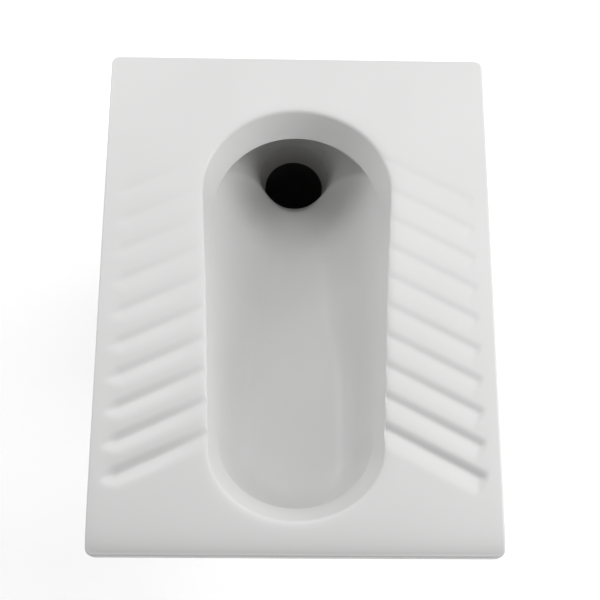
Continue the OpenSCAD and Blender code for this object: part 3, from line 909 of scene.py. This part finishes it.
def build_inlet():
    """Supply horn: a block that runs into a round socket, one smooth outline."""
    # outline in X-Z: round below, straight sides up to the channel, with fillets between
    half, r, zc, top = 27.0, 30.0, SUPPLY_Z, APRON_Z
    pts = []
    for t in np.linspace(math.radians(24), math.radians(180 - 24), 49):
        pts.append((-r * math.cos(t), zc - r * math.sin(t)))
    a0 = math.radians(24)
    x_a, z_a = r * math.cos(a0), zc - r * math.sin(a0)
    right = []
    for t in np.linspace(0, 1, 15)[1:]:
        # from the round socket to the straight side
        x = x_a + (half - x_a) * (3 * t * t - 2 * t ** 3) + 2.2 * math.sin(math.pi * t) * (1 - t)
        z = z_a + (zc + 26.0 - z_a) * t
        right.append((x, z))
    right.append((half, top))
    outline = [(x, z) for x, z in pts] + right + [(-x, z) for x, z in right[::-1]]
    y0, y1 = SLOT_Y - 10.5, SLOT_Y + 11.9
    rings = []
    e = 2.0
    c = np.array([0.0, zc])
    o = np.array(outline)

    def at(inset, y):
        d = o - c
        l = np.linalg.norm(d, axis=1)[:, None]
        q = o - d / l * inset
        q[:, 1] = np.where(o[:, 1] > top - 0.01, top, q[:, 1])
        return np.c_[q[:, 0], np.full(len(q), y), q[:, 1]]
    for a in np.radians((0, 30, 60, 90)):
        rings.append(at(e * (1 - math.sin(a)), y0 + e * (1 - math.cos(a))))
    for y in np.linspace(y0 + e, y1 - e, 6)[1:-1]:
        rings.append(at(0.0, y))
    for a in np.radians((90, 60, 30, 0)):
        rings.append(at(e * (1 - math.sin(a)), y1 - e * (1 - math.cos(a))))
    ob = grid_mesh("flush_inlet_shell", rings, caps=True)
    # bore with a rounded mouth, and the slot up to the channel
    prof = [(SUPPLY_R + 2.0, -12.0), (SUPPLY_R + 2.0, -10.6), (SUPPLY_R + 1.2, -10.2), (SUPPLY_R + 0.4, -9.4), (SUPPLY_R, -8.5),
            (SUPPLY_R, 7.0), (SUPPLY_R - 0.6, 8.4), (SUPPLY_R - 2.0, 9.0), (0.01, 9.0), (0.01, -12.0)]
    tool = lathe("tool", [(q, -(SLOT_Y + h)) for q, h in prof], 96, (0, 0, SUPPLY_Z), "-y")
    ob = boolean(ob, tool)
    bm = bmesh.new()
    slot(bm, -SLOT_W / 2, SLOT_W / 2, SLOT_Y, SLOT_Y + SLOT_L, SUPPLY_Z, APRON_Z + 2.0)
    return cut(ob, bm)


# ---------------------------------------------------------------- trap pieces
TRAP_R, TRAP_T = 48.0, 7.0
RISE_Y, BEND_Y, BEND_Z, BEND_R = 99.5, 162.5, -277.0, 63.0
ELBOW_Y, ELBOW_Z, ELBOW_R, OUT_Z = 37.5, -256.0, 62.0, -194.0
DOOR_X, DOOR_Z, DOOR_R, BOLT_PCR = 66.0, -270.0, 48.0, 38.0
SOCKET_R, MOUTH_S, SOCK_Z = 55.5, -180.0, -217.0


def trap_path(top, end):
    """Points (y, z) and directions along the trap's waterway."""
    out = [((DRAIN_Y, z), (0.0, -1.0)) for z in np.linspace(top, BEND_Z, 8)[:-1]]
    for a in np.radians(np.linspace(0, 180, 61)):
        out.append(((BEND_Y + BEND_R * math.cos(a), BEND_Z - BEND_R * math.sin(a)), (-math.sin(a), -math.cos(a))))
    for z in np.linspace(BEND_Z, ELBOW_Z, 4)[1:-1]:
        out.append(((RISE_Y, z), (0.0, 1.0)))
    for a in np.radians(np.linspace(0, 90, 33)):
        out.append(((ELBOW_Y + ELBOW_R * math.cos(a), ELBOW_Z + ELBOW_R * math.sin(a)), (-math.sin(a), math.cos(a))))
    for y in np.linspace(ELBOW_Y, end, 12)[1:]:
        out.append(((y, OUT_Z), (-1.0, 0.0)))
    return out


def tube(name, r, top, end, seam=0.0, rounding=0.0):
    """Solid of radius r along the trap's route; seam is the height of the casting's joint line."""
    phi = np.linspace(0, 360, 96, endpoint=False)
    if seam:
        for c in (90.0, 270.0):
            phi = phi[np.abs(phi - c) > 3.0]
            phi = np.r_[phi, c + np.array([-2.6, -1.5, -0.9, 0.0, 0.9, 1.5, 2.6])]
        phi = np.sort(phi)
    t = np.radians(phi)
    rise = sum(seam * np.exp(-((phi - c) / 1.1) ** 2) for c in (90.0, 270.0))
    path = trap_path(top, end)
    rings = []
    for k, ((y, z), (ty, tz)) in enumerate(path):
        # the joint line fades out on the spigot, where a coupling goes over it
        fade = min(1.0, max(0.0, (y - 5.0) / 20.0)) if k > 100 else 1.0
        rr = r + rise * fade
        n = (-tz, ty)
        rings.append(np.c_[rr * np.cos(t), y + rr * np.sin(t) * n[0], z + rr * np.sin(t) * n[1]])
    if rounding:
        y, z = path[-1][0]
        rings[-1] = rings[-1] + np.array([0, rounding, 0])
        for a in np.radians((30, 60, 90)):
            rr = r - rounding * (1 - math.cos(a))
            rings.append(np.c_[rr * np.cos(t), np.full(len(t), y + rounding * (1 - math.sin(a))),
                               z + rr * np.sin(t) * path[-1][1][0]])
    return grid_mesh(name, rings, caps=True)


def joined(obs, name):
    """One object from several separate ones."""
    bm = bmesh.new()
    for o in obs:
        bm.from_mesh(o.data)
    me = bpy.data.meshes.new(name)
    bm.to_mesh(me)
    bm.free()
    for o in obs:
        m = o.data
        bpy.data.objects.remove(o)
        bpy.data.meshes.remove(m)
    ob = bpy.data.objects.new(name, me)
    bpy.context.scene.collection.objects.link(ob)
    return ob


def solid_lathe(name, profile, n, centre, axis, start=0.0):
    """Solid of revolution whose profile starts and ends close to the axis."""
    a = np.radians(start) + np.linspace(0, 2 * math.pi, n, endpoint=False)
    rings = []
    for r, h in profile:
        if axis == "z":
            p = np.c_[r * np.cos(a), r * np.sin(a), np.full(n, h)]
        elif axis == "-y":
            p = np.c_[r * np.cos(a), np.full(n, -h), r * np.sin(a)]
        else:
            p = np.c_[np.full(n, h), r * np.cos(a), r * np.sin(a)]
        rings.append(p + np.array(centre, float))
    return grid_mesh(name, rings, caps=True)


def bolt_places():
    return [(math.sin(t) * BOLT_PCR, -math.cos(t) * BOLT_PCR, t)
            for t in np.radians([45, 135, 225, 315])]


def arc(c, r, a0, a1, n=5):
    return [(c[0] + r * math.cos(t), c[1] + r * math.sin(t)) for t in np.radians(np.linspace(a0, a1, n))]


def build_trap():
    body = tube("trap_body_shell", TRAP_R + TRAP_T, SOCK_Z, -40.5, seam=0.45, rounding=1.6)
    s = SOCKET_R + TRAP_T
    prof = [(40.0, SOCK_Z - 16)] + [(55.2, SOCK_Z - 16)]
    # flowing shoulder from the pipe to the socket
    for t in np.linspace(0, 1, 12)[1:]:
        prof.append((55.2 + (s - 55.2) * (3 * t * t - 2 * t ** 3), SOCK_Z - 16 + 12 * t))
    prof += [(s, MOUTH_S - 15.5), (s + 0.5, MOUTH_S - 14.0), (s + 1.6, MOUTH_S - 13.0)]
    prof += arc((s + 0.5, MOUTH_S - 11.0), 1.5, -30, 0, 3)
    prof += arc((s - 0.5, MOUTH_S - 2.5), 2.5, 0, 90, 6)
    prof += [(40.0, MOUTH_S)]
    socket = solid_lathe("socket", prof, 128, (0, DRAIN_Y, 0), "z")
    b = [(59.0, 22.0)]
    for t in np.linspace(0, 1, 10)[1:]:
        b.append((59.0 - 11.0 * (1 - (1 - t) ** 2), 22.0 + 26.0 * t))
    b += [(DOOR_R, 58.0)] + arc((DOOR_R - 1.2, DOOR_X - 1.2), 1.2, 0, 90, 4)
    boss = solid_lathe("boss", [(20.0, 18.0)] + b + [(10.0, DOOR_X)], 128, (0, RISE_Y, DOOR_Z), "x")
    boolean(body, joined([socket, boss], "tool"), "UNION")
    boolean(body, tube("tool", TRAP_R, SOCK_Z + 1.0, -42.0))
    bore = solid_lathe("t1", [(SOCKET_R, SOCK_Z), (SOCKET_R, MOUTH_S - 1.5), (SOCKET_R + 1.2, MOUTH_S - 0.3),
                              (SOCKET_R + 1.6, MOUTH_S + 2)], 128, (0, DRAIN_Y, 0), "z")
    hole = solid_lathe("t2", [(30.0, 0.0), (30.0, DOOR_X - 1.0), (31.0, DOOR_X), (31.0, DOOR_X + 2)], 96, (0, RISE_Y, DOOR_Z), "x")
    small = [solid_lathe("t3", [(4.0, DOOR_X - 15.0), (4.0, DOOR_X + 2)], 24, (0, RISE_Y + y, DOOR_Z + z), "x")
             for y, z, t in bolt_places()]
    return boolean(body, joined([bore, hole] + small, "tool"))


def build_gasket():
    r, q = DOOR_R - 1.0, 31.0
    prof = [(q + 0.5, 0.0), (r - 0.6, 0.0)] + arc((r - 0.8, 0.8), 0.8, -60, 0, 3) + arc((r - 0.8, 2.2), 0.8, 0, 90, 4)
    prof += [(q + 0.5, 3.0), (q, 2.5), (q, 0.5)]
    ob = lathe("door_gasket_shell", prof, 128, (DOOR_X, RISE_Y, DOOR_Z), "x")
    return boolean(ob, joined([solid_lathe("t", [(4.5, DOOR_X - 1), (4.5, DOOR_X + 4)], 32, (0, RISE_Y + y, DOOR_Z + z), "x")
                               for y, z, t in bolt_places()], "tool"))


def build_cover():
    x = DOOR_X + 3.0
    prof = [(0.4, 0.0), (20.0, 0.0), (DOOR_R - 0.6, 0.0), (DOOR_R, 0.6), (DOOR_R, 5.6)]
    prof += arc((DOOR_R - 2.0, 6.0), 2.0, 10, 90, 5)
    prof += [(40.0, 8.0), (32.5, 8.0)]
    for t in np.linspace(0, 1, 8)[1:]:
        prof.append((32.5 - 6.5 * t, 8.0 + 3.0 * (3 * t * t - 2 * t ** 3)))
    prof += [(18.0, 11.0), (0.4, 11.0)]
    ob = solid_lathe("door_cover_shell", [(r, h) for r, h in prof], 128, (x, RISE_Y, DOOR_Z), "x")
    return boolean(ob, joined([solid_lathe("t", [(4.5, x - 1), (4.5, x + 12)], 32, (0, RISE_Y + y, DOOR_Z + z), "x")
                               for y, z, t in bolt_places()], "tool"))


def build_washers():
    x = DOOR_X + 11.0
    obs = []
    for y, z, t in bolt_places():
        prof = [(4.5, 0.0), (7.8, 0.0), (8.0, 0.2), (8.0, 1.2), (7.6, 1.6), (4.5, 1.6), (4.3, 1.4), (4.3, 0.2)]
        obs.append(lathe("w", prof, 64, (x, RISE_Y + y, DOOR_Z + z), "x"))
    return joined(obs, "door_washers_shell")


def build_bolts():
    x = DOOR_X + 12.6
    obs = []
    flat = 7.5 * math.cos(math.pi / 6)
    for by, bz, t in bolt_places():
        turn = math.atan2(bz, by)
        a = np.linspace(0, 2 * math.pi, 96, endpoint=False)
        local = (a - turn) % (math.pi / 3)
        hexr = flat / np.cos(local - math.pi / 6)
        rings = []
        for h, limit in ((-25.0, 3.2), (-24.2, 3.95), (-12.0, 3.95), (-0.01, 3.95), (0.0, 4.2), (0.0, 6.3), (0.35, 6.35),
                         (0.36, 7.1), (0.5, 7.35), (0.7, 9.0), (3.0, 9.0), (4.3, 9.0), (4.75, 7.25), (5.05, 6.75),
                         (5.3, 6.0), (5.3, 3.0), (5.1, 2.7), (5.1, 0.3)):
            r = np.minimum(hexr, limit)
            rings.append(np.c_[np.full(96, x + h), RISE_Y + by + r * np.cos(a), DOOR_Z + bz + r * np.sin(a)])
        obs.append(grid_mesh("b", rings, caps=True))
    return joined(obs, "door_bolts_shell")


# --------------------------------------------------------------- round pieces
def build_horn():
    z0, z1 = BOWL_Z, HORN_Z
    prof = [(BORE_TOP, z0), (44.6, z0 - 5.0), (41.7, z0 - 22.0), (39.2, z1 + 3.0), (38.8, z1 + 1.2), (39.4, z1 + 0.2), (40.2, z1)]
    prof += [(46.4, z1), (47.6, z1 + 0.5), (49.6, z1 + 3.4), (50.0, z1 + 4.6)]
    prof += [(50.0, z) for z in (z1 + 15.0, z0 - 12.0, z0 - 5.0)] + [(50.3, z0 - 2.6), (51.2, z0 - 0.8), (52.0, z0)]
    return lathe("outlet_horn_shell", prof, 128, (0, DRAIN_Y, 0), "z")


def build_seal():
    m, q, h = MOUTH_S, SOCKET_R - 0.2, 50.0
    poly = [(h, m + 4), (SOCKET_R + 4, m + 4), (SOCKET_R + 4, m), (q, m), (q, m - 5), (h + 2.5, m - 7), (h + 2.5, m - 10),
            (q, m - 12), (q, m - 15), (h + 2.5, m - 17), (h + 2.5, m - 20), (q, m - 22), (q, m - 24), (h + 1.5, m - 27), (h, m - 27)]
    return lathe("horn_seal_shell", rounded(poly, [0.4, 1.3, 1.0, 0.3] + [1.0] * 9 + [0.5, 0.3], 5), 128, (0, DRAIN_Y, 0), "z")


def build_cone():
    p, s = PIPE_R, SUPPLY_R
    poly = [(p, 0), (s - 2, 0), (s, 3), (s, 10.5), (s + 5, 10.5), (s + 5, 11.8), (s + 3.8, 13), (p, 13)]
    prof = rounded(poly, [0.6, 0.8, 1.0, 0.2, 0.3, 0.5, 0.8, 1.0], 5)
    return lathe("flush_cone_shell", [(r, h - SLOT_Y) for r, h in prof], 96, (0, 0, SUPPLY_Z), "-y")


rim = build_rim()
finish_piece(rim, thin, "thin_glaze_china", "flush_rim", angle=38)
finish_piece(build_webs(), thin, "thin_glaze_china", "deck_webs", angle=38)
finish_piece(build_inlet(), thin, "thin_glaze_china", "flush_inlet", angle=38)
finish_piece(build_horn(), thin, "thin_glaze_china", "outlet_horn", angle=38)
finish_piece(build_cone(), black_rubber, "black_rubber", "flush_cone", angle=38)
finish_piece(build_seal(), black_rubber, "black_rubber", "horn_seal", angle=38)
finish_piece(build_trap(), coated_iron, "coated_iron", "trap_body", angle=38)
finish_piece(build_gasket(), black_rubber, "black_rubber", "door_gasket", angle=38)
finish_piece(build_cover(), coated_iron, "coated_iron", "door_cover", angle=38)
finish_piece(build_bolts(), zinc_steel, "zinc_steel", "door_bolts", angle=28)
finish_piece(build_washers(), zinc_steel, "zinc_steel", "door_washers", angle=30)

# --------------------------------------------------------------- stage, light
FLOOR_Z = cad_box[0][2] - 0.0005
me = bpy.data.meshes.new("floor")
s = 6.0
me.from_pydata([(-s, -s, FLOOR_Z), (s, -s, FLOOR_Z), (s, s, FLOOR_Z), (-s, s, FLOOR_Z)], [], [(0, 1, 2, 3)])
floor = bpy.data.objects.new("floor", me)
bpy.context.scene.collection.objects.link(floor)
m, nt, bs = new_mat("floor_pale")
bs.inputs["Base Color"].default_value = (0.94, 0.94, 0.94, 1)
bs.inputs["Roughness"].default_value = 0.9
bs.inputs["Emission Color"].default_value = (1, 1, 1, 1)
bs.inputs["Emission Strength"].default_value = 0.30
floor.data.materials.append(m)


# Softboxes all round: degrees from straight up, direction, watts and size
LIGHTS = ((30, 0, 2.4, 0.8), (30, 60, 1.8, 0.8), (30, 90, 2.4, 0.8), (30, 180, 1.6, 0.8),
          (52, 0, 8.5, 0.8), (52, 135, 5.4, 0.8),
          (74, 0, 6.0, 0.7), (74, 45, 1.3, 0.7), (74, 135, 3.0, 0.7), (74, 180, 2.1, 0.7))
for tilt, az, watts, size in LIGHTS:
    t, a = math.radians(tilt), math.radians(az)
    loc = Vector((math.sin(t) * math.cos(a), math.sin(t) * math.sin(a), math.cos(t))) * 1.6
    lamp = bpy.data.lights.new("softbox_%d_%d" % (tilt, az), "AREA")
    lamp.shape = "DISK"
    lamp.size = size
    lamp.energy = watts
    ob = bpy.data.objects.new(lamp.name, lamp)
    ob.location = loc
    ob.rotation_euler = (-loc).to_track_quat("-Z", "Y").to_euler()
    bpy.context.scene.collection.objects.link(ob)

world = bpy.data.worlds.new("studio")
bpy.context.scene.world = world
world.use_nodes = True
wn = world.node_tree
bg = wn.nodes.get("Background") or wn.nodes.new("ShaderNodeBackground")
bg.inputs[0].default_value = (1, 1, 1, 1)
bg.inputs[1].default_value = 0.3
wo = wn.nodes.get("World Output") or wn.nodes.new("ShaderNodeOutputWorld")
wn.links.new(bg.outputs[0], wo.inputs[0])

cam = bpy.data.cameras.new("camera")
cam.sensor_fit = "HORIZONTAL"
cam.sensor_width = 36.0
cam.lens = 69.0036
cam.clip_start = 0.05
cam.clip_end = 50.0
cam_ob = bpy.data.objects.new("camera", cam)
cam_ob.location = (-0.025416, -0.398487, 1.246213)
cam_ob.rotation_euler = tuple(math.radians(a) for a in (17.6492, -1.4130, 0.1527))
bpy.context.scene.collection.objects.link(cam_ob)
bpy.context.scene.camera = cam_ob

bpy.context.scene.view_settings.view_transform = "Standard"
bpy.context.scene.view_settings.look = "None"
